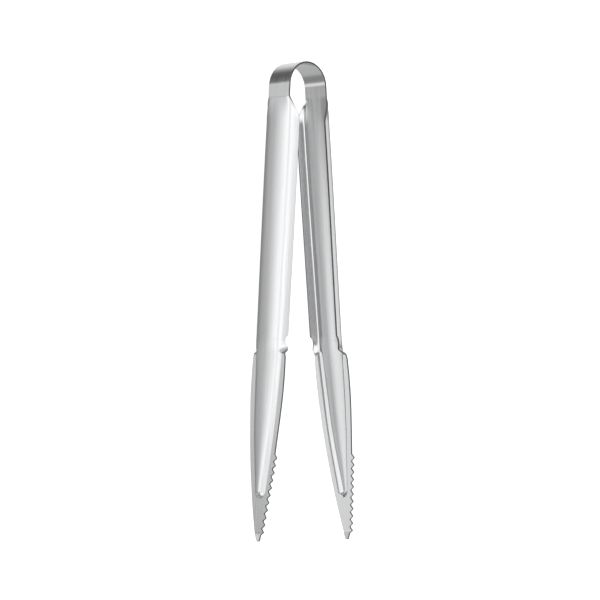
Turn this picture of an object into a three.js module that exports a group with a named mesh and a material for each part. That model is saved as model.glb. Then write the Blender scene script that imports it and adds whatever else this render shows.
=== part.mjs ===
// Spring tongs pressed from one strip of stainless sheet and bent into a bow. A plain band springs the arms apart,
// each grip is a channel with its flanges turned inwards, and each blade is flat, with a pressed rib, one serrated
// edge and a short nib folded inwards at its point. The strip is cut into sections where it bends or changes form.
//
// Frame: millimetres, +Z up. The tongs lie on the smooth back edges of both arms, with the serrated edges up. +X runs
// from the bow to the points, the left arm is at -Y, and the origin is the middle of the box's underside.

import * as THREE from "three";

const degrees = THREE.MathUtils.degToRad;
const { smoothstep, clamp, lerp } = THREE.MathUtils;

// Driving dimensions, on the middle of the sheet. A place on an arm is its distance "along" the band's middle line
// from the crown of the bow, and its distance "across" from that line, positive towards the serrated edge.
const SHEET = 0.8; // thickness of the strip
const GAP = 0.3; // between two sections of the strip
const BOW_RADIUS = 10.9;
const BAND_HALF = 7.2; // half the width of the plain band
const FLEX_AT = degrees(45); // where each half of the bow bends, from its crown
const ARM_SPLAY = degrees(4.3);
const BLADE_SPLAY = degrees(5.9);
const NIB_BEND = degrees(6);

const SHOULDER_AT = 22.3; // the band starts to widen
const SHOULDER_RUN = 10.2;
const NECK_AT = 131.4; // the channel's flanges end
const NECK_RUN = 11.5;
const NOTCH_RUN = 2; // from there to the bottom of the notch
const TEETH_AT = 186.3;
const FOLD_AT = 221.8; // the nib's fold
const FOLD_RUN = 0.8;
const TIP_AT = 225; // centre of the round point

// The channel of the grip: an arched web between two flared flanges.
const GRIP_WIDEST = 9.85; // half its width at the bow's end
const GRIP_HALF = 9.2; // half its width where the flanges end
const GRIP_RUN = 11.5; // the flanges rise to their full depth over this length
const GRIP_DEPTH = 4.35; // at the bow's end
const NECK_DEPTH = 4.85; // where the flanges end
const GRIP_CROWN = 0.6; // how far the web is arched
const FLANGE_WIDE = 1.4; // width that a flange takes up across the strip
const FLANGE_BEND = 0.42; // how softly the web turns into a flange
const FLANGE_CUT = 0.4; // depth of the notch

// The rib of the blade, pressed outwards.
const RIB_DEPTH = 1.7;
const RIB_CROWN = 0.5;
const RIB_WALL = 2.1;
const RIB_NOSE_AT = 203.2; // centre of the rib's round end
const RIB_NOSE = 3.4; // radius of its foot there

const TOOTH_COUNT = 11;
const TOOTH_PITCH = 3.38;
const TOOTH_HEIGHT = 1.9;
const TOOTH_PEAK = 0.55; // share of the pitch before the point
const TIP_RADIUS = 1.25;
const NIB_WIDENS = 0.6; // how much further out the front edge is where the teeth end
const TIP_OFFSET = 1.9; // of the round point, towards the serrated edge
const TIP_LAST = degrees(75); // the outline stops here, which leaves the small flat that a file would

const STEEL = new THREE.MeshStandardMaterial({ color: 0xc4c6c8, roughness: 0.28, metalness: 1 });

// The middle line seen from the strip's edge, as runs with their length and how far they turn.
const NOTCH_AT = NECK_AT + NOTCH_RUN;
const NECK_END = NECK_AT + NECK_RUN;
const TEETH_END = TEETH_AT + TOOTH_COUNT * TOOTH_PITCH;
const BOW_TURN = Math.PI / 2 - ARM_SPLAY;
const BOW_RUN = BOW_RADIUS * BOW_TURN;
const RUNS = [
  { length: BOW_RUN, turn: BOW_TURN },
  { length: NECK_AT - BOW_RUN, turn: 0 },
  { length: NECK_RUN, turn: ARM_SPLAY - BLADE_SPLAY },
  { length: FOLD_AT - NECK_END, turn: 0 },
  { length: FOLD_RUN, turn: NIB_BEND },
  { length: Infinity, turn: 0 },
];

// Place and heading of the middle line on the right arm: "out" from the middle plane, and x from the crown.
function pathAt(along) {
  let out = 0;
  let x = 0;
  let heading = 0;
  let left = along;
  for (const { length, turn } of RUNS) {
    const run = Math.min(left, length);
    const bend = turn / length;
    if (bend) {
      const next = heading + bend * run;
      out += (Math.sin(next) - Math.sin(heading)) / bend;
      x += (Math.cos(heading) - Math.cos(next)) / bend;
      heading = next;
    } else {
      out += run * Math.cos(heading);
      x += run * Math.sin(heading);
    }
    left -= run;
    if (left <= 0) break;
  }
  return { out, x, heading };
}

// A smooth curve through a few [along, value] points, level beyond the first and the last.
function curveThrough(points) {
  const slopeAt = (i) => {
    const before = points[Math.max(i - 1, 0)];
    const after = points[Math.min(i + 1, points.length - 1)];
    return (after[1] - before[1]) / (after[0] - before[0]);
  };
  return (along) => {
    const next = points.findIndex(([place]) => place > along);
    if (next < 0) return points.at(-1)[1];
    if (next === 0) return points[0][1];
    const [from, low] = points[next - 1];
    const [to, high] = points[next];
    const t = (along - from) / (to - from);
    const bulge = (to - from) * t * (1 - t) * (slopeAt(next - 1) * (1 - t) - slopeAt(next) * t);
    return lerp(low, high, t * t * (3 - 2 * t)) + bulge;
  };
}

// Half widths of the strip: the shoulder, then the blade's front edge and its back edge.
const shoulderEdge = curveThrough([
  [SHOULDER_AT, BAND_HALF],
  [SHOULDER_AT + 0.34 * SHOULDER_RUN, 8.8],
  [SHOULDER_AT + SHOULDER_RUN, GRIP_WIDEST],
  [NECK_AT, GRIP_HALF],
]);
const frontBlade = curveThrough([
  [NECK_END, 12],
  [151.6, 12.2],
  [163.6, 11.8],
  [TEETH_AT, 9.7],
]);
const backBlade = curveThrough([
  [NECK_END, 10.3],
  [149.6, 10.4],
  [162.6, 9.8],
  [185.6, 7.4],
  [208.6, 3.4],
  [TIP_AT - 1, -0.3],
  [TIP_AT, TIP_RADIUS - TIP_OFFSET],
]);

// The rib's middle line, and the half width of its foot.
const ribCentre = curveThrough([
  [NECK_AT, 0],
  [NECK_END, 0.8],
  [176.6, 1.15],
  [RIB_NOSE_AT, 1.7],
]);
const ribFoot = curveThrough([
  [NECK_AT, GRIP_HALF],
  [NECK_END, 8.6],
  [153.6, 8.2],
  [176.6, 6.7],
  [RIB_NOSE_AT, RIB_NOSE],
]);

// Either edge through the neck: a flange ends in a short notch, and the margin of the blade widens after it.
function neckEdge(along, blade) {
  const notched = lerp(GRIP_HALF, GRIP_HALF - FLANGE_CUT, smoothstep(along, NECK_AT, NOTCH_AT));
  return lerp(notched, blade, smoothstep(along, NOTCH_AT + 1, NECK_END));
}

// Half a chord of the round point, where both edges end.
function tipChord(along) {
  const past = Math.max(along - TIP_AT, 0);
  return Math.sqrt(Math.max(TIP_RADIUS ** 2 - past ** 2, 0));
}

// The front edge without its teeth, from the band to the nib.
const ROOT_START = frontBlade(TEETH_AT);
const TIP_START = TIP_OFFSET + TIP_RADIUS;
const ROOT_END = TIP_START + NIB_WIDENS;
function rootEdge(along) {
  if (along < NECK_AT) return shoulderEdge(along);
  if (along < NECK_END) return neckEdge(along, frontBlade(NECK_END));
  if (along < TEETH_AT) return frontBlade(along);
  if (along < TEETH_END) return lerp(ROOT_START, ROOT_END, (along - TEETH_AT) / (TEETH_END - TEETH_AT));
  if (along < TIP_AT) return lerp(ROOT_END, TIP_START, (along - TEETH_END) / (TIP_AT - TEETH_END));
  return TIP_OFFSET + tipChord(along);
}

function toothHeight(along) {
  const count = (along - TEETH_AT) / TOOTH_PITCH;
  if (count <= 0 || count >= TOOTH_COUNT) return 0;
  const phase = count - Math.floor(count);
  return TOOTH_HEIGHT * Math.min(phase / TOOTH_PEAK, (1 - phase) / (1 - TOOTH_PEAK));
}

// The back edge, as a distance to the other side of the band's middle line.
function backEdge(along) {
  if (along < NECK_AT) return shoulderEdge(along);
  if (along < NECK_END) return neckEdge(along, backBlade(NECK_END));
  return along < TIP_AT ? backBlade(along) : tipChord(along) - TIP_OFFSET;
}

// How far the press has gone from the flat band to the grip's form, and from the grip's to the blade's. The flange
// opens out first, then steps down to the blade's margin.
const toGrip = (along) => smoothstep(along, SHOULDER_AT - 1, SHOULDER_AT + GRIP_RUN);
function toBlade(along) {
  const opening = smoothstep(along, NOTCH_AT, NOTCH_AT + 4.6);
  const step = smoothstep(along, NOTCH_AT + 3.8, NECK_END - 2.4);
  return 0.4 * opening + 0.6 * step;
}

// Depth of the grip's form below the middle line: an arch, then a hyperbola that straightens into the flange.
function gripDepth(along, across) {
  const half = shoulderEdge(along);
  const full = lerp(GRIP_DEPTH, NECK_DEPTH, clamp(along / NECK_AT, 0, 1));
  const flare = (x) => x + Math.hypot(x, FLANGE_BEND);
  const aside = Math.abs(across) - half + FLANGE_WIDE;
  return GRIP_CROWN * (across / half) ** 2 + (full - GRIP_CROWN) * (flare(aside) / flare(FLANGE_WIDE));
}

// Depth of the blade's form below the middle line: an arched rib that falls to flat margins.
function ribDepth(along, across) {
  const foot = ribFoot(along);
  const aside = Math.abs(across - ribCentre(along));
  const past = along - RIB_NOSE_AT;
  const inside = past < 0 ? foot - aside : RIB_NOSE - Math.hypot(past, aside);
  const crown = RIB_CROWN * clamp(1 - inside / foot, 0, 1) ** 2;
  return lerp(RIB_DEPTH, crown, smoothstep(inside, 0, RIB_WALL));
}

const depthAt = (along, across) =>
  lerp(toGrip(along) * gripDepth(along, across), ribDepth(along, across), toBlade(along));

// A point of the sheet's middle: along is negative on the left side of the bow.
function middlePoint(along, across) {
  const { out, x, heading } = pathAt(Math.abs(along));
  const depth = depthAt(Math.abs(along), across);
  const y = out - depth * Math.sin(heading);
  return new THREE.Vector3(x + depth * Math.cos(heading), Math.sign(along) * y, across);
}

const STEP = 0.01; // for the slopes of the sheet
function outwards(along, across) {
  const run = middlePoint(along + STEP, across).sub(middlePoint(along - STEP, across));
  const over = middlePoint(along, across + STEP).sub(middlePoint(along, across - STEP));
  return over.cross(run).normalize();
}

// A closed solid of the right-hand strip over the stations given, across the lanes of each; side -1 mirrors it.
function sheetGeometry(stations, lanesAt, side) {
  const outer = [];
  const inner = [];
  for (const along of stations) {
    for (const across of lanesAt(along)) {
      const middle = middlePoint(along, across);
      const half = outwards(along, across).multiplyScalar(SHEET / 2);
      outer.push(middle.clone().add(half));
      inner.push(middle.sub(half));
    }
  }
  const lanes = lanesAt(stations[0]).length;
  const lastRow = stations.length - 1;
  const back = outer.length;
  const at = (row, lane) => row * lanes + lane;
  const faces = [];
  const quad = (a, b, c, d) => faces.push([a, b, c], [a, c, d]);
  const wall = (a, b) => quad(a, back + a, back + b, b);
  for (let row = 0; row < lastRow; row++) {
    for (let lane = 0; lane < lanes - 1; lane++) {
      const corners = [at(row, lane), at(row, lane + 1), at(row + 1, lane + 1), at(row + 1, lane)];
      quad(...corners);
      quad(...corners.map((corner) => back + corner).reverse());
    }
    wall(at(row + 1, 0), at(row, 0));
    wall(at(row, lanes - 1), at(row + 1, lanes - 1));
  }
  for (let lane = 0; lane < lanes - 1; lane++) {
    wall(at(0, lane), at(0, lane + 1));
    wall(at(lastRow, lane + 1), at(lastRow, lane));
  }
  const points = [...outer, ...inner].flatMap((point) => [point.x, side * point.y, point.z]);
  const turned = faces.flatMap((face) => (side < 0 ? face.reverse() : face));
  return new THREE.BufferGeometry()
    .setAttribute("position", new THREE.Float32BufferAttribute(points, 3))
    .setIndex(turned);
}

// Even steps from one distance to another, none longer than the step asked for.
function steps(from, to, step) {
  const count = Math.max(1, Math.ceil((to - from) / step));
  return Array.from({ length: count + 1 }, (_, i) => lerp(from, to, i / count));
}

// One run of stations after another, each starting where the last one ended.
const joined = (...runs) => runs.flatMap((run, i) => (i ? run.slice(1) : run));

const bandLanes = () => [-BAND_HALF, 0, BAND_HALF];

// Lanes over the web, then closer together over each bend and flange.
function gripLanes(along) {
  const edge = rootEdge(along);
  const half = [0.45, 0.7, 0.78, 0.84, 0.89, 1].map((share) => share * edge);
  return [...half.map((across) => -across).reverse(), 0, ...half];
}

// Lanes over the rib's top and walls, then its margins out to each edge. The teeth reach in over half of a margin.
function bladeLanes(along) {
  const middle = lerp(ribCentre(along), TIP_OFFSET, smoothstep(along, RIB_NOSE_AT, TIP_AT));
  const half = (edge, tooth) => {
    const foot = Math.min(ribFoot(along), 0.75 * edge);
    const top = Math.max(foot - RIB_WALL, 0.45 * foot);
    const wall = [0, 0.33, 0.67, 1].map((share) => lerp(top, foot, share));
    return [0.6 * top, ...wall, lerp(foot, edge, 0.5), edge + tooth];
  };
  const front = half(rootEdge(along) - middle, toothHeight(along));
  const rear = half(backEdge(along) + middle, 0);
  return [...rear.map((across) => middle - across).reverse(), middle, ...front.map((across) => middle + across)];
}

const BEND_STEP = BOW_RADIUS * degrees(5);
const FLEX_ALONG = BOW_RADIUS * FLEX_AT;
const GRIP_FORMED = SHOULDER_AT + GRIP_RUN;
const BLADE_START = NOTCH_AT + 0.6;

const crownStations = steps(-FLEX_ALONG + GAP / 2, FLEX_ALONG - GAP / 2, BEND_STEP);
const legStations = joined(
  steps(FLEX_ALONG + GAP / 2, BOW_RUN, BEND_STEP),
  steps(BOW_RUN, SHOULDER_AT - GAP, 5),
);
const gripStations = joined(
  steps(SHOULDER_AT, GRIP_FORMED, 1.3),
  steps(GRIP_FORMED, NECK_AT, 24),
  steps(NECK_AT, BLADE_START - GAP, 0.8),
);
const toothStations = Array.from({ length: 2 * TOOTH_COUNT + 1 }, (_, i) => {
  const peak = i % 2 ? TOOTH_PEAK : 0;
  return TEETH_AT + TOOTH_PITCH * (Math.floor(i / 2) + peak);
});
const tipStations = [0, 0.35, 0.6, 0.8, 1].map((share) => TIP_AT + TIP_RADIUS * Math.sin(TIP_LAST * share));
const bladeStations = joined(
  steps(BLADE_START, NECK_END, 0.9),
  steps(NECK_END, TEETH_AT, 8),
  toothStations,
  [TEETH_END, TIP_AT - 1.5, ...tipStations],
);

const tongs = new THREE.Group();

function addSection(name, stations, lanesAt, side) {
  const section = new THREE.Mesh(sheetGeometry(stations, lanesAt, side), STEEL);
  section.name = name;
  tongs.add(section);
}

addSection("bow_crown", crownStations, bandLanes, 1);
for (const [name, side] of [["left", -1], ["right", 1]]) {
  addSection(`${name}_bow_leg`, legStations, bandLanes, side);
  addSection(`${name}_grip`, gripStations, gripLanes, side);
  addSection(`${name}_blade`, bladeStations, bladeLanes, side);
}

const box = new THREE.Box3().setFromObject(tongs);
const centre = box.getCenter(new THREE.Vector3());
tongs.position.set(-centre.x, -centre.y, -box.min.z);

export default tongs;
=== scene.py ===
"""Looks for the spring tongs: one strip of brushed stainless sheet, on a pale floor in soft studio light.

The seven CAD sections are replaced by finer sheets made from the same formulas and driving dimensions.
"""

import math

import bpy
import numpy as np
from mathutils import Matrix, Vector


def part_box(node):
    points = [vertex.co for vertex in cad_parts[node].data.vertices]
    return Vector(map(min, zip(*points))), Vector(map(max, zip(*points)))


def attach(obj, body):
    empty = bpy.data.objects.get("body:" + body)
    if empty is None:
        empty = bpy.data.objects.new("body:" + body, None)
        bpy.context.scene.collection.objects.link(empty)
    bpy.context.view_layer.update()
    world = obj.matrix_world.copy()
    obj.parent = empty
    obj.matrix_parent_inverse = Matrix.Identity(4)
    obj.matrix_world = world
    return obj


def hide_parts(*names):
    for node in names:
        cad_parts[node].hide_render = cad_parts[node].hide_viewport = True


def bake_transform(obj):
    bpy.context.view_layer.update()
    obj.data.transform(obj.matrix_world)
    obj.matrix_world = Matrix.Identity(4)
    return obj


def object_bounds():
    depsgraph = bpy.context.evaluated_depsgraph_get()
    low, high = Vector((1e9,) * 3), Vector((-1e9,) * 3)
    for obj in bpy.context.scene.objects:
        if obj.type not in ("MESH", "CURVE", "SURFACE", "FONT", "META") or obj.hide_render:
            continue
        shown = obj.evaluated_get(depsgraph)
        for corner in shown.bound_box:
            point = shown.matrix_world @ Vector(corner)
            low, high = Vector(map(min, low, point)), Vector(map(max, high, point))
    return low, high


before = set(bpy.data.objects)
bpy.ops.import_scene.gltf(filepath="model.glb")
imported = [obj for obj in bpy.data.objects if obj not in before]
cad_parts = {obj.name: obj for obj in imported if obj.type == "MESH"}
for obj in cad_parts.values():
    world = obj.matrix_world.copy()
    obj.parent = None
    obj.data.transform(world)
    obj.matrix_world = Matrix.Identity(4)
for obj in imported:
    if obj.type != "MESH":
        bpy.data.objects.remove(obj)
cad_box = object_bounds()

# Sizes of the strip in millimetres, on the middle of the sheet, as the CAD source has them. A place on an arm
# is its distance "along" from the crown of the bow, negative on the left arm, and its distance "across" from
# the band's middle line, positive towards the teeth.
SHEET = 0.8
BOW_RADIUS = 10.9
BAND_HALF = 7.2
ARM_SPLAY = math.radians(4.3)
BLADE_SPLAY = math.radians(5.9)
NIB_BEND = math.radians(6)
SHOULDER_AT = 22.3
SHOULDER_RUN = 10.2
SHOULDER_SWEEP = 0.34  # share of that run where the middle point of its curve is
NECK_AT = 131.4
NECK_RUN = 11.5
NOTCH_RUN = 2
OPENING_RUN = 4.6  # the flange opens out over this length past the notch
OPENING_SHARE = 0.4  # and this much of the change from grip to blade is done there
STEP_AFTER = 3.8  # the rest is a step, from here past the notch
STEP_BEFORE = 2.4  # to here before the neck's end
TEETH_AT = 186.3
FOLD_AT = 221.8
FOLD_RUN = 0.8
TIP_AT = 225
GRIP_WIDEST = 9.85
GRIP_HALF = 9.2
GRIP_RUN = 11.5
GRIP_DEPTH = 4.35
NECK_DEPTH = 4.85
GRIP_CROWN = 0.6
FLANGE_WIDE = 1.4
FLANGE_BEND = 0.42
FLANGE_CUT = 0.4
RIB_DEPTH = 1.7
RIB_CROWN = 0.5
RIB_WALL = 2.1
RIB_NOSE_AT = 203.2
RIB_NOSE = 3.4
TOOTH_COUNT = 11
TOOTH_PITCH = 3.38
TOOTH_HEIGHT = 1.9
TOOTH_PEAK = 0.55
TIP_RADIUS = 1.25
TIP_OFFSET = 1.9
NIB_WIDENS = 0.6

MM = 0.001
HALF_SHEET = SHEET / 2
NOTCH_AT = NECK_AT + NOTCH_RUN
NECK_END = NECK_AT + NECK_RUN
MARGIN_AT = NOTCH_AT + 1  # the blade's margin starts to widen
TEETH_END = TEETH_AT + TOOTH_COUNT * TOOTH_PITCH
BOW_TURN = math.pi / 2 - ARM_SPLAY
BOW_RUN = BOW_RADIUS * BOW_TURN
RUNS = (
    (BOW_RUN, BOW_TURN),
    (NECK_AT - BOW_RUN, 0.0),
    (NECK_RUN, ARM_SPLAY - BLADE_SPLAY),
    (FOLD_AT - NECK_END, 0.0),
    (FOLD_RUN, NIB_BEND),
    (TIP_AT, 0.0),
)

# What the visible surface adds to the CAD's.
EDGE_ROUND = 0.14  # radius of the deburred edges
EDGE_MARGIN = 0.02  # between a rounding and the first lane of a face
ROUND_STEPS = 3  # facets of each rounding
TOOTH_ROUND = 0.09  # share of a tooth's flank taken up by each rounding
TIP_LAST = math.radians(75)  # the round point closes to here
CUT_STEP = 0.03  # length of the first facets at a cut, so that the shading runs on from one piece to the next
RIGID_HALF = 2.0  # the bow's crown piece reaches this far from its middle


def lerp(a, b, t):
    return a + (b - a) * t


def smooth(x, low, high):
    t = np.clip((x - low) / (high - low), 0, 1)
    return t * t * (3 - 2 * t)


def path_at(along):
    """Distance out from the middle plane, distance down from the crown, and heading of the right arm."""
    out = np.zeros_like(along)
    down = np.zeros_like(along)
    heading = np.zeros_like(along)
    start = 0.0
    for length, turn in RUNS:
        run = np.clip(along - start, 0, length)
        bend = turn / length
        after = heading + bend * run
        if bend:
            out += (np.sin(after) - np.sin(heading)) / bend
            down += (np.cos(heading) - np.cos(after)) / bend
        else:
            out += run * np.cos(heading)
            down += run * np.sin(heading)
        heading = after
        start += length
    return out, down, heading


def curve_through(*points):
    """A smooth curve through a few (along, value) points, level beyond the first and the last."""
    places = np.array([p[0] for p in points], float)
    values = np.array([p[1] for p in points], float)
    before = np.maximum(np.arange(len(points)) - 1, 0)
    after = np.minimum(np.arange(len(points)) + 1, len(points) - 1)
    slopes = (values[after] - values[before]) / (places[after] - places[before])

    def value(along):
        along = np.clip(along, places[0], places[-1])
        i = np.clip(np.searchsorted(places, along, side="right") - 1, 0, len(points) - 2)
        run = places[i + 1] - places[i]
        t = (along - places[i]) / run
        bulge = run * t * (1 - t) * (slopes[i] * (1 - t) - slopes[i + 1] * t)
        return lerp(values[i], values[i + 1], t * t * (3 - 2 * t)) + bulge

    return value


shoulder_edge = curve_through(
    (SHOULDER_AT, BAND_HALF),
    (SHOULDER_AT + SHOULDER_SWEEP * SHOULDER_RUN, 8.8),
    (SHOULDER_AT + SHOULDER_RUN, GRIP_WIDEST),
    (NECK_AT, GRIP_HALF),
)
front_blade = curve_through((NECK_END, 12), (151.6, 12.2), (163.6, 11.8), (TEETH_AT, 9.7))
back_blade = curve_through(
    (NECK_END, 10.3),
    (149.6, 10.4),
    (162.6, 9.8),
    (185.6, 7.4),
    (208.6, 3.4),
    (TIP_AT - 1, -0.3),
    (TIP_AT, TIP_RADIUS - TIP_OFFSET),
)
rib_centre = curve_through((NECK_AT, 0), (NECK_END, 0.8), (176.6, 1.15), (RIB_NOSE_AT, 1.7))
rib_foot = curve_through(
    (NECK_AT, GRIP_HALF),
    (NECK_END, 8.6),
    (153.6, 8.2),
    (176.6, 6.7),
    (RIB_NOSE_AT, RIB_NOSE),
)


def grip_depth(along, across):
    """Depth of the grip's channel: an arch, then a hyperbola that straightens into the flange."""
    half = shoulder_edge(along)
    full = lerp(GRIP_DEPTH, NECK_DEPTH, np.clip(along / NECK_AT, 0, 1))
    aside = np.abs(across) - half + FLANGE_WIDE
    flare = aside + np.hypot(aside, FLANGE_BEND)
    whole = FLANGE_WIDE + math.hypot(FLANGE_WIDE, FLANGE_BEND)
    return GRIP_CROWN * (across / half) ** 2 + (full - GRIP_CROWN) * flare / whole


def rib_depth(along, across):
    """Depth of the blade's form: an arched rib that falls to flat margins."""
    foot = rib_foot(along)
    aside = np.abs(across - rib_centre(along))
    past = along - RIB_NOSE_AT
    inside = np.where(past < 0, foot - aside, RIB_NOSE - np.hypot(np.maximum(past, 0), aside))
    crown = RIB_CROWN * np.clip(1 - inside / foot, 0, 1) ** 2
    return lerp(RIB_DEPTH, crown, smooth(inside, 0, RIB_WALL))


def depth_at(along, across):
    """Depth of the sheet below the middle line: band, then grip, then blade."""
    to_grip = smooth(along, SHOULDER_AT - 1, SHOULDER_AT + GRIP_RUN)
    opening = smooth(along, NOTCH_AT, NOTCH_AT + OPENING_RUN)
    step = smooth(along, NOTCH_AT + STEP_AFTER, NECK_END - STEP_BEFORE)
    to_blade = lerp(step, opening, OPENING_SHARE)
    return lerp(to_grip * grip_depth(along, across), rib_depth(along, across), to_blade)


def middle_point(along, across):
    """Points of the sheet's middle, from the crown of the bow, in millimetres."""
    out, down, heading = path_at(np.abs(along))
    depth = depth_at(np.abs(along), across)
    y = np.sign(along) * (out - depth * np.sin(heading))
    return np.stack([down + depth * np.cos(heading), y, across], -1)


def unit(v):
    return v / np.linalg.norm(v, axis=-1, keepdims=True)


def directions_at(along, across):
    """Unit directions along and across the strip, and out of its outer face."""
    step = 0.004
    ahead = unit(middle_point(along + step, across) - middle_point(along - step, across))
    over = unit(middle_point(along, across + step) - middle_point(along, across - step))
    return ahead, over, unit(np.cross(over, ahead))


def neck_edge(along, blade):
    """Either edge through the neck: the flange's notch, then the blade's widening margin."""
    notched = lerp(GRIP_HALF, GRIP_HALF - FLANGE_CUT, smooth(along, NECK_AT, NOTCH_AT))
    return lerp(notched, blade, smooth(along, MARGIN_AT, NECK_END))


def tip_chord(along):
    return np.sqrt(np.maximum(TIP_RADIUS**2 - np.maximum(along - TIP_AT, 0) ** 2, 0))


def tooth_height(along):
    """A row of triangles with their points and roots rounded."""
    count = np.clip((along - TEETH_AT) / TOOTH_PITCH, 0, TOOTH_COUNT)
    phase = count - np.floor(count)
    wave = np.where(phase < TOOTH_PEAK, phase / TOOTH_PEAK, (1 - phase) / (1 - TOOTH_PEAK))
    low, high = TOOTH_ROUND, 1 - TOOTH_ROUND
    root = low / 2 + wave**2 / (2 * low)
    crest = high + TOOTH_ROUND / 2 - (1 - wave) ** 2 / (2 * TOOTH_ROUND)
    rounded = np.where(wave < low, root, np.where(wave > high, crest, wave))
    run_in = 0.15  # of a pitch, over which the row starts and ends
    ends = smooth(count, 0, run_in) * (1 - smooth(count, TOOTH_COUNT - run_in, TOOTH_COUNT))
    return TOOTH_HEIGHT * rounded * ends


def front_root(along):
    """The front edge without its teeth."""
    tip_start = TIP_OFFSET + TIP_RADIUS
    row_end = tip_start + NIB_WIDENS
    row = lerp(front_blade(TEETH_AT), row_end, (along - TEETH_AT) / (TEETH_END - TEETH_AT))
    nib = lerp(row_end, tip_start, (along - TEETH_END) / (TIP_AT - TEETH_END))
    edge = np.where(along < TEETH_AT, front_blade(along), row)
    edge = np.where(along < NECK_END, neck_edge(along, front_blade(NECK_END)), edge)
    edge = np.where(along > TEETH_END, nib, edge)
    edge = np.where(along > TIP_AT, TIP_OFFSET + tip_chord(along), edge)
    return np.where(along < NECK_AT, shoulder_edge(along), edge)


def front_edge(along):
    return front_root(along) + tooth_height(along)


def back_edge(along):
    """The back edge's place across, which is negative."""
    edge = np.where(along < NECK_END, neck_edge(along, back_blade(NECK_END)), back_blade(along))
    edge = np.where(along < NECK_AT, shoulder_edge(along), edge)
    return np.where(along < TIP_AT, -edge, TIP_OFFSET - tip_chord(along))


def outline_normal(along, edge_at, way):
    """The direction out of an edge, as its parts along and across. The point's comes from its circle."""
    step = 0.01
    rise = (edge_at(along + step) - edge_at(along - step)) / (2 * step)
    sideways = 1 / np.hypot(1, rise)
    turn = np.clip((along - TIP_AT) / TIP_RADIUS, 0, 1)
    round_end = along > TIP_AT
    ahead = np.where(round_end, turn, -rise * way * sideways)
    return ahead, way * np.where(round_end, np.sqrt(1 - turn**2), sideways)


# The sheet's mesh. Each station is a closed ring of points: the lanes of the outer face from the back edge to
# the front edge, the front edge's rounding, the lanes of the inner face, and the back edge's rounding.
ROUND_POINTS = 2 * (ROUND_STEPS + 1)


def rounding(edge, outwards, normal):
    """Rows of points around an edge, from the outer face to the inner face."""
    rows = []
    for side in (1, -1):
        centre = edge - EDGE_ROUND * outwards + side * (HALF_SHEET - EDGE_ROUND) * normal
        for angle in np.linspace(0, math.pi / 2, ROUND_STEPS + 1)[::side]:
            away = math.sin(angle) * outwards + side * math.cos(angle) * normal
            rows.append(centre + EDGE_ROUND * away)
    return rows


def edge_frame(stations, edge_at, way):
    """An edge's rounding, and the place where the lanes stop short of it."""
    inset = EDGE_ROUND + EDGE_MARGIN
    across = edge_at(np.abs(stations))
    n_along, n_across = outline_normal(np.abs(stations), edge_at, way)
    n_along = n_along * np.sign(stations)
    ahead, over, normal = directions_at(stations, across)
    outwards = unit(n_along[:, None] * ahead + n_across[:, None] * over)
    rows = np.stack(rounding(middle_point(stations, across), outwards, normal), 1)
    return rows, stations - inset * n_along, across - inset * n_across * over[:, 2]


def strip_points(stations, lanes_at):
    """Rings of points, and each point's place along and across the strip."""
    front, front_along, front_across = edge_frame(stations, front_edge, 1)
    back, back_along, back_across = edge_frame(stations, back_edge, -1)
    share = lanes_at(np.abs(stations), back_across, front_across)
    along = lerp(back_along[:, None], front_along[:, None], share)
    across = lerp(back_across[:, None], front_across[:, None], share)
    middle = middle_point(along, across)
    half = HALF_SHEET * directions_at(along, across)[2]
    points = np.concatenate([middle + half, front, (middle - half)[:, ::-1], back[:, ::-1]], 1)

    def edge_places(edge_at):
        place = np.stack([stations, edge_at(np.abs(stations))], -1)
        return np.repeat(place[:, None], ROUND_POINTS, 1)

    faces = np.stack([along, across], -1)
    places = np.concatenate([faces, edge_places(front_edge), faces[:, ::-1], edge_places(back_edge)], 1)
    return points, places


def strip_faces(rows, ring):
    """Quads from each ring to the next, then ladders of quads over the two ends."""
    i, j = np.meshgrid(np.arange(rows - 1), np.arange(ring), indexing="ij")
    here = i * ring + j
    beside = i * ring + (j + 1) % ring
    sides = np.stack([here, beside, beside + ring, here + ring], -1).reshape(-1, 4)
    rung = np.arange(-ROUND_POINTS // 2, ring // 2 - ROUND_POINTS // 2)
    outer = rung % ring
    inner = (ring - ROUND_POINTS - 1 - rung) % ring
    ladder = np.stack([outer[:-1], outer[1:], inner[1:], inner[:-1]], -1)
    return sides, np.concatenate([ladder[:, ::-1], ladder + (rows - 1) * ring])


crown_low, crown_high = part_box("bow_crown")
CROWN_X = cad_box[0][0] / MM + HALF_SHEET  # the crown's middle line
MIDDLE_Z = (crown_low[2] + crown_high[2]) / 2 / MM


def to_frame(points):
    """From the strip's own millimetres to the CAD's frame in metres.

    The CAD's facets cut up to 0.03 mm off the widest curves, and the strip keeps within their box.
    """
    placed = (points + np.array([CROWN_X, 0, MIDDLE_Z])) * MM
    return np.clip(placed, cad_box[0], cad_box[1])


def on_edge(ring):
    """Which of a ring's points start a face of an edge's rounding."""
    lanes = (ring - 2 * ROUND_POINTS) // 2
    place = np.arange(ring) % (lanes + ROUND_POINTS)
    return (place >= lanes) & (place < lanes + ROUND_POINTS - 1)


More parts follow.
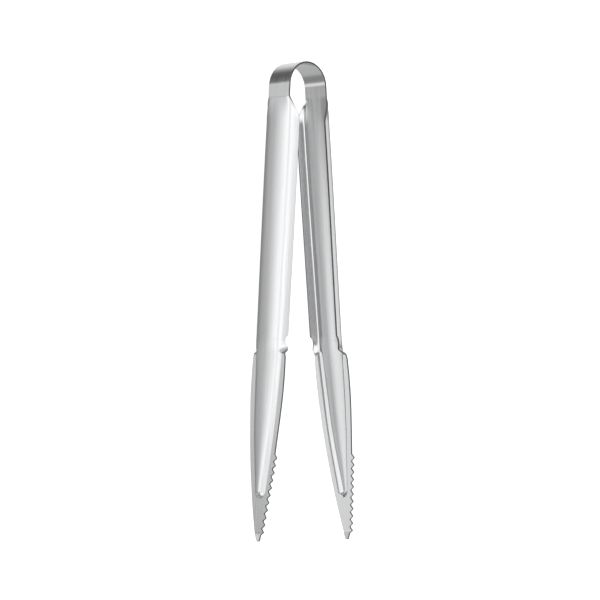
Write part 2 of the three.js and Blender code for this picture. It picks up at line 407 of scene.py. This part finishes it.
def add_strip(name, stations, lanes_at, materials):
    points, places = strip_points(stations, lanes_at)
    rows, ring = points.shape[:2]
    sides, caps = strip_faces(rows, ring)
    faces = np.concatenate([sides, caps])
    mesh = bpy.data.meshes.new(name)
    mesh.from_pydata(to_frame(points).reshape(-1, 3).tolist(), [], faces.tolist())
    smooth_faces = np.arange(len(faces)) < len(sides)
    mesh.polygons.foreach_set("use_smooth", smooth_faces)
    strip = mesh.uv_layers.new(name="strip")
    corners = places.reshape(-1, 2)[faces.reshape(-1)]
    strip.uv.foreach_set("vector", (corners[:, ::-1] * MM).reshape(-1))
    for material in materials:
        mesh.materials.append(material)
    sheared = np.concatenate([np.tile(on_edge(ring), rows - 1), np.zeros(len(caps), bool)])
    mesh.polygons.foreach_set("material_index", sheared.astype(np.int32))
    mesh.update()
    piece = bpy.data.objects.new(name, mesh)
    bpy.context.scene.collection.objects.link(piece)
    return piece


# Lanes, as shares of the way from the back edge to the front edge.
BEND_REACH = 1.2  # the grip's close lanes start this far inside its flange
FOOT_MOST = 0.75  # the rib's foot lane is at most this share of the way to the blade's edge
TOP_LEAST = 0.45  # and the rib's top is at least this share of the way to its foot


def to_shares(places, back, front):
    return (places - back[:, None]) / (front - back)[:, None]


def spaced(low, high, count):
    """Even places from low to high for every station, without the first."""
    return lerp(low[:, None], high[:, None], np.linspace(0, 1, count + 1)[None, 1:])


def both_sides(middle, back_half, front_half):
    middle = middle[:, None]
    return np.concatenate([middle - back_half[:, ::-1], middle, middle + front_half], 1)


def band_lanes(along, back, front):
    return np.tile(np.linspace(0, 1, 13), (len(along), 1))


def grip_lanes(along, back, front):
    web = shoulder_edge(along) - FLANGE_WIDE - BEND_REACH

    def half(edge):
        return np.concatenate([spaced(0 * web, web, 8), spaced(web, edge, 20)], 1)

    middle = 0 * along
    return to_shares(both_sides(middle, half(-back), half(front)), back, front)


def blade_lanes(along, back, front):
    middle = lerp(rib_centre(along), TIP_OFFSET, smooth(along, RIB_NOSE_AT, TIP_AT))

    def half(root, edge):
        foot = np.minimum(rib_foot(along), FOOT_MOST * root)
        top = np.maximum(foot - RIB_WALL, TOP_LEAST * foot)
        rim = (foot + root) / 2
        parts = [spaced(0 * top, top, 8), spaced(top, foot, 16), spaced(foot, rim, 4), spaced(rim, edge, 6)]
        return np.concatenate(parts, 1)

    front_half = half(front_root(along) - middle, front - middle)
    back_half = half(middle - back, middle - back)
    return to_shares(both_sides(middle, back_half, front_half), back, front)


# Stations, as distances from the crown.
def steps(low, high, step):
    return np.linspace(low, high, max(1, math.ceil((high - low) / step)) + 1)


def joined(*runs):
    """Runs of stations end to end, with one short step at either end."""
    places = np.unique(np.concatenate(runs).round(6))
    ends = [places[0] + CUT_STEP, places[-1] - CUT_STEP]
    return np.unique(np.concatenate([places, ends]))


BOW_STEP = BOW_RADIUS * math.radians(1)
GRIP_FORMED = SHOULDER_AT + GRIP_RUN
BLADE_START = NOTCH_AT + 0.6
TOOTH_STEPS = 20

crown_stations = joined(steps(-RIGID_HALF, RIGID_HALF, BOW_STEP))
leg_stations = joined(steps(RIGID_HALF, BOW_RUN, BOW_STEP), steps(BOW_RUN, SHOULDER_AT, 0.5))
grip_stations = joined(
    steps(SHOULDER_AT, GRIP_FORMED, 0.4),
    steps(GRIP_FORMED, NECK_AT, 2),
    steps(NECK_AT, BLADE_START, 0.2),
)
blade_stations = joined(
    steps(BLADE_START, NECK_END, 0.2),
    steps(NECK_END, TEETH_AT, 1),
    steps(TEETH_AT, TEETH_END, TOOTH_PITCH / TOOTH_STEPS),
    steps(TEETH_END, TIP_AT, 0.1),
    TIP_AT + TIP_RADIUS * np.sin(np.linspace(0, TIP_LAST, 16)),
)


# Material: stainless sheet brushed lengthwise. Its noises are stretched along the strip.
BRUSH_ACROSS = 5200.0  # noise cells in a metre across the strip
BRUSH_ALONG = 55.0
BROAD_ACROSS = BRUSH_ACROSS / 9
BROAD_ALONG = BRUSH_ALONG / 6
SCORING = 2500.0  # noise cells in a metre of a sheared edge


def link(material, source, target):
    material.node_tree.links.new(source, target)


def stretched_noise(material, place, across, along, detail):
    nodes = material.node_tree.nodes
    stretch = nodes.new("ShaderNodeMapping")
    stretch.inputs["Scale"].default_value = (across, along, 1)
    noise = nodes.new("ShaderNodeTexNoise")
    noise.inputs["Scale"].default_value = 1
    noise.inputs["Detail"].default_value = detail
    link(material, place, stretch.inputs["Vector"])
    link(material, stretch.outputs["Vector"], noise.inputs["Vector"])
    return noise.outputs["Fac"]


def spread(material, value, low, high):
    """The middle of a noise's range, spread out from low to high."""
    node = material.node_tree.nodes.new("ShaderNodeMapRange")
    node.inputs["From Min"].default_value = 0.3
    node.inputs["From Max"].default_value = 0.7
    node.inputs["To Min"].default_value = low
    node.inputs["To Max"].default_value = high
    link(material, value, node.inputs["Value"])
    return node.outputs["Result"]


def brushed_steel():
    material = bpy.data.materials.new("brushed_steel")
    material.use_nodes = True
    nodes = material.node_tree.nodes
    shader = nodes["Principled BSDF"]
    shader.inputs["Metallic"].default_value = 1
    shader.inputs["Anisotropic"].default_value = 0.3
    place = nodes.new("ShaderNodeUVMap")
    place.uv_map = "strip"
    fine = stretched_noise(material, place.outputs["UV"], BRUSH_ACROSS, BRUSH_ALONG, 3)
    broad = stretched_noise(material, place.outputs["UV"], BROAD_ACROSS, BROAD_ALONG, 2)

    tint = nodes.new("ShaderNodeMix")
    tint.data_type = "RGBA"
    tint.inputs["A"].default_value = (0.565, 0.57, 0.58, 1)
    tint.inputs["B"].default_value = (0.665, 0.667, 0.67, 1)
    both = nodes.new("ShaderNodeMath")
    both.operation = "ADD"
    link(material, spread(material, fine, 0, 0.6), both.inputs[0])
    link(material, spread(material, broad, 0, 0.4), both.inputs[1])
    link(material, both.outputs["Value"], tint.inputs["Factor"])
    link(material, tint.outputs["Result"], shader.inputs["Base Color"])
    link(material, spread(material, broad, 0.15, 0.2), shader.inputs["Roughness"])

    tangent = nodes.new("ShaderNodeTangent")
    tangent.direction_type = "UV_MAP"
    tangent.uv_map = "strip"
    link(material, tangent.outputs["Tangent"], shader.inputs["Tangent"])
    bump = nodes.new("ShaderNodeBump")
    bump.inputs["Strength"].default_value = 0.08
    bump.inputs["Distance"].default_value = 0.02 * MM
    link(material, fine, bump.inputs["Height"])
    link(material, bump.outputs["Normal"], shader.inputs["Normal"])
    return material


def sheared_edge_painted_shade():
    """The cut thickness of the sheet, duller and darker than its faces, with the punch's fine scoring. Part of
    the darkness is painted shade, which draws the edges as dark outlines.
    """
    material = bpy.data.materials.new("sheared_edge_painted_shade")
    material.use_nodes = True
    nodes = material.node_tree.nodes
    shader = nodes["Principled BSDF"]
    shader.inputs["Metallic"].default_value = 1
    place = nodes.new("ShaderNodeTexCoord")
    scoring = stretched_noise(material, place.outputs["Object"], SCORING, SCORING, 2)
    # Very dark greys: the cut's own dull tone, darkened further with painted shade so that the edges show as
    # dark outlines.
    tint = nodes.new("ShaderNodeMix")
    tint.data_type = "RGBA"
    tint.inputs["A"].default_value = (0.11, 0.111, 0.114, 1)
    tint.inputs["B"].default_value = (0.19, 0.191, 0.195, 1)
    link(material, spread(material, scoring, 0, 1), tint.inputs["Factor"])
    link(material, tint.outputs["Result"], shader.inputs["Base Color"])
    link(material, spread(material, scoring, 0.32, 0.45), shader.inputs["Roughness"])
    return material


def on_strip(along):
    """A place on the strip's middle line in the CAD's frame."""
    return Vector(to_frame(middle_point(np.array([float(along)]), np.array([0.0])))[0])


def add_sections():
    materials = brushed_steel(), sheared_edge_painted_shade()
    crown = add_strip("bow_crown_sheet", crown_stations, band_lanes, materials)
    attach(crown, "crown")
    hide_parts("bow_crown")
    sections = (
        ("bow_leg", leg_stations, band_lanes),
        ("grip", grip_stations, grip_lanes),
        ("blade", blade_stations, blade_lanes),
    )
    for side, sign in (("left", -1), ("right", 1)):
        for section, stations, lanes_at in sections:
            places = np.sort(sign * stations)
            piece = add_strip(f"{side}_{section}_sheet", places, lanes_at, materials)
            if section == "bow_leg":
                bend_start, bend_end = on_strip(sign * RIGID_HALF), on_strip(sign * BOW_RUN)
                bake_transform(piece)
            else:
                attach(piece, f"{side}_arm")
            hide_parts(f"{side}_{section}")


# Camera: above the left arm, with the bow at the top of the view.
VIEW_TURN = math.radians(-41)
VIEW_RISE = math.radians(-2.4)
VIEW_ROLL = math.radians(-0.33)
VIEW_CENTRE = 109.4  # how far from the bow's end the view is centred, in millimetres
VIEW_DISTANCE = 1.7
VIEW_WIDTH = 0.2754  # width of the view at the tongs
SENSOR = 36.0
IMAGE_WIDTH = 600


def add_camera():
    rise, turn = VIEW_RISE, VIEW_TURN
    back = Vector((-math.sin(rise), math.sin(turn) * math.cos(rise), math.cos(turn) * math.cos(rise)))
    right = Vector((0, math.cos(turn), -math.sin(turn)))
    up = back.cross(right)
    across = right * math.cos(VIEW_ROLL) + up * math.sin(VIEW_ROLL)
    upward = up * math.cos(VIEW_ROLL) - right * math.sin(VIEW_ROLL)
    middle = Vector(((CROWN_X - HALF_SHEET + VIEW_CENTRE) * MM, 0, MIDDLE_Z * MM))
    pixel = VIEW_WIDTH / IMAGE_WIDTH
    aim = middle + across * pixel
    data = bpy.data.cameras.new("camera")
    data.sensor_width = SENSOR
    data.lens = SENSOR * VIEW_DISTANCE / VIEW_WIDTH
    data.clip_start = 0.05
    data.clip_end = 20
    camera = bpy.data.objects.new("camera", data)
    turned = Matrix((across, upward, back)).transposed().to_4x4()
    camera.matrix_world = Matrix.Translation(aim + back * VIEW_DISTANCE) @ turned
    bpy.context.scene.collection.objects.link(camera)
    bpy.context.scene.camera = camera


# Floor and backdrop, in metres.
STAGE_HALF = 3.5
BACKDROP_HEIGHT = 2
BACKDROP_SIDES = 32


def add_stage(name, points, faces, material):
    """A pale sheet that the steel doesn't mirror."""
    mesh = bpy.data.meshes.new(name)
    mesh.from_pydata(points, [], faces)
    mesh.materials.append(material)
    sheet = bpy.data.objects.new(name, mesh)
    bpy.context.scene.collection.objects.link(sheet)
    sheet.visible_glossy = False
    sheet.visible_diffuse = False
    return sheet


def pale_surface():
    """A matt surface lit from within, like a light table."""
    material = bpy.data.materials.new("floor")
    material.use_nodes = True
    shader = material.node_tree.nodes["Principled BSDF"]
    shader.inputs["Base Color"].default_value = (0.6, 0.6, 0.6, 1)
    shader.inputs["Roughness"].default_value = 1
    shader.inputs["Specular IOR Level"].default_value = 0
    shader.inputs["Emission Color"].default_value = (1, 1, 1, 1)
    shader.inputs["Emission Strength"].default_value = 0.75
    return material


def add_floor():
    """A pale floor, and a round backdrop that lets the studio's light in."""
    pale = pale_surface()
    corners = [(x * STAGE_HALF, y * STAGE_HALF, 0) for x, y in ((-1, -1), (1, -1), (1, 1), (-1, 1))]
    add_stage("floor", corners, [(0, 1, 2, 3)], pale)

    turns = [math.tau * i / BACKDROP_SIDES for i in range(BACKDROP_SIDES)]
    foot = [(STAGE_HALF * math.cos(turn), STAGE_HALF * math.sin(turn), 0) for turn in turns]
    top = [(x, y, BACKDROP_HEIGHT) for x, y, z in foot]
    walls = []
    for i in range(BACKDROP_SIDES):
        beside = (i + 1) % BACKDROP_SIDES
        walls.append((i, beside, BACKDROP_SIDES + beside, BACKDROP_SIDES + i))
    backdrop = add_stage("backdrop", foot + top, walls, pale)
    backdrop.visible_shadow = False


# The studio that the steel mirrors. A direction's tilt is its angle about the X axis, in degrees: -90 is
# straight down, 0 is level towards the left arm's side, 90 is straight up, and 180 is level towards the right
# arm's side. Its lead is its part along X, towards the points. Each card covers a range of tilt and a range of
# lead with soft edges, and lies over the cards before it. Its values are (lowest tilt, highest tilt, softness),
# (lowest lead, highest lead, softness) and brightness.
ROOM_LEVEL = 0.3  # where there is no card
STUDIO_LEVEL = 1.25
WHOLE_LEAD = (-2, 2, 0.1)  # past both ends of the range
STUDIO_CARDS = (
    ((-60, 97, 4), WHOLE_LEAD, 0.55),
    ((-46.5, 94, 17), WHOLE_LEAD, 1.3),
    ((-22, 36, 24), WHOLE_LEAD, 1.12),
    ((-47, 100, 40), (-2, -0.45, 0.25), 0.66),
    ((140, 175, 6), WHOLE_LEAD, 0.95),
    ((-176, -152, 26), (0.1, 2, 0.3), 0.95),
    ((-57, -44, 3), (-0.122, -0.06, 0.02), 0.38),
    ((-46.5, 6, 3), (-0.03, 2, 0.06), 0.37),
    ((8, 62, 8), (-0.07, 0.3, 0.04), 1),
    ((-58, -48, 2.5), (-0.03, 2, 0.06), 1.2),
    ((-62, -44, 3), (-0.07, 0.011, 0.012), 0.24),
    ((-75, -56, 4), (-0.03, 0.09, 0.05), 0.3),
    ((-40.5, -37, 1.5), (0.035, 2, 0.03), 0.95),
    ((-70, -47, 3), (0.095, 2, 0.03), 1.08),
    ((-130, -54, 8), (0.25, 2, 0.1), 0.52),
    ((-64, -40, 4), (0.2, 2, 0.14), 0.27),
    ((-180, -47, 8), (-2, -0.24, 0.1), 0.12),
    ((-181, -93, 50), (-2, -0.2, 0.1), 0.8),
)


def world_math(tree, operation, *values):
    """A Math node on numbers and sockets."""
    node = tree.nodes.new("ShaderNodeMath")
    node.operation = operation
    for socket, value in zip(node.inputs, values):
        if isinstance(value, (int, float)):
            socket.default_value = value
        else:
            tree.links.new(value, socket)
    return node.outputs["Value"]


def soft_step(tree, value, middle, softness):
    node = tree.nodes.new("ShaderNodeMapRange")
    node.interpolation_type = "SMOOTHSTEP"
    node.inputs["From Min"].default_value = middle - softness / 2
    node.inputs["From Max"].default_value = middle + softness / 2
    tree.links.new(value, node.inputs["Value"])
    return node.outputs["Result"]


def soft_window(tree, value, low, high, softness):
    """1 between low and high, 0 outside them."""
    above = soft_step(tree, value, low, softness)
    beyond = soft_step(tree, value, high, softness)
    return world_math(tree, "SUBTRACT", above, beyond)


def add_studio():
    world = bpy.data.worlds.new("studio")
    bpy.context.scene.world = world
    world.use_nodes = True
    tree = world.node_tree
    direction = tree.nodes.new("ShaderNodeTexCoord").outputs["Generated"]
    parts = tree.nodes.new("ShaderNodeSeparateXYZ")
    tree.links.new(direction, parts.inputs["Vector"])
    lead = parts.outputs["X"]
    level_side = world_math(tree, "MULTIPLY", parts.outputs["Y"], -1)
    tilt = world_math(tree, "DEGREES", world_math(tree, "ARCTAN2", parts.outputs["Z"], level_side))
    brightness = ROOM_LEVEL
    for tilts, leads, card in STUDIO_CARDS:
        cover = world_math(tree, "MULTIPLY", soft_window(tree, tilt, *tilts), soft_window(tree, lead, *leads))
        shown = world_math(tree, "MULTIPLY", cover, card)
        bare = world_math(tree, "MULTIPLY", world_math(tree, "SUBTRACT", 1, cover), brightness)
        brightness = world_math(tree, "ADD", shown, bare)
    strength = world_math(tree, "MULTIPLY", brightness, STUDIO_LEVEL)
    tree.links.new(strength, tree.nodes["Background"].inputs["Strength"])
    tree.nodes["Background"].inputs["Color"].default_value = (1, 1, 1, 1)


bpy.context.scene.view_settings.view_transform = "Standard"
add_sections()
add_camera()
add_floor()
add_studio()
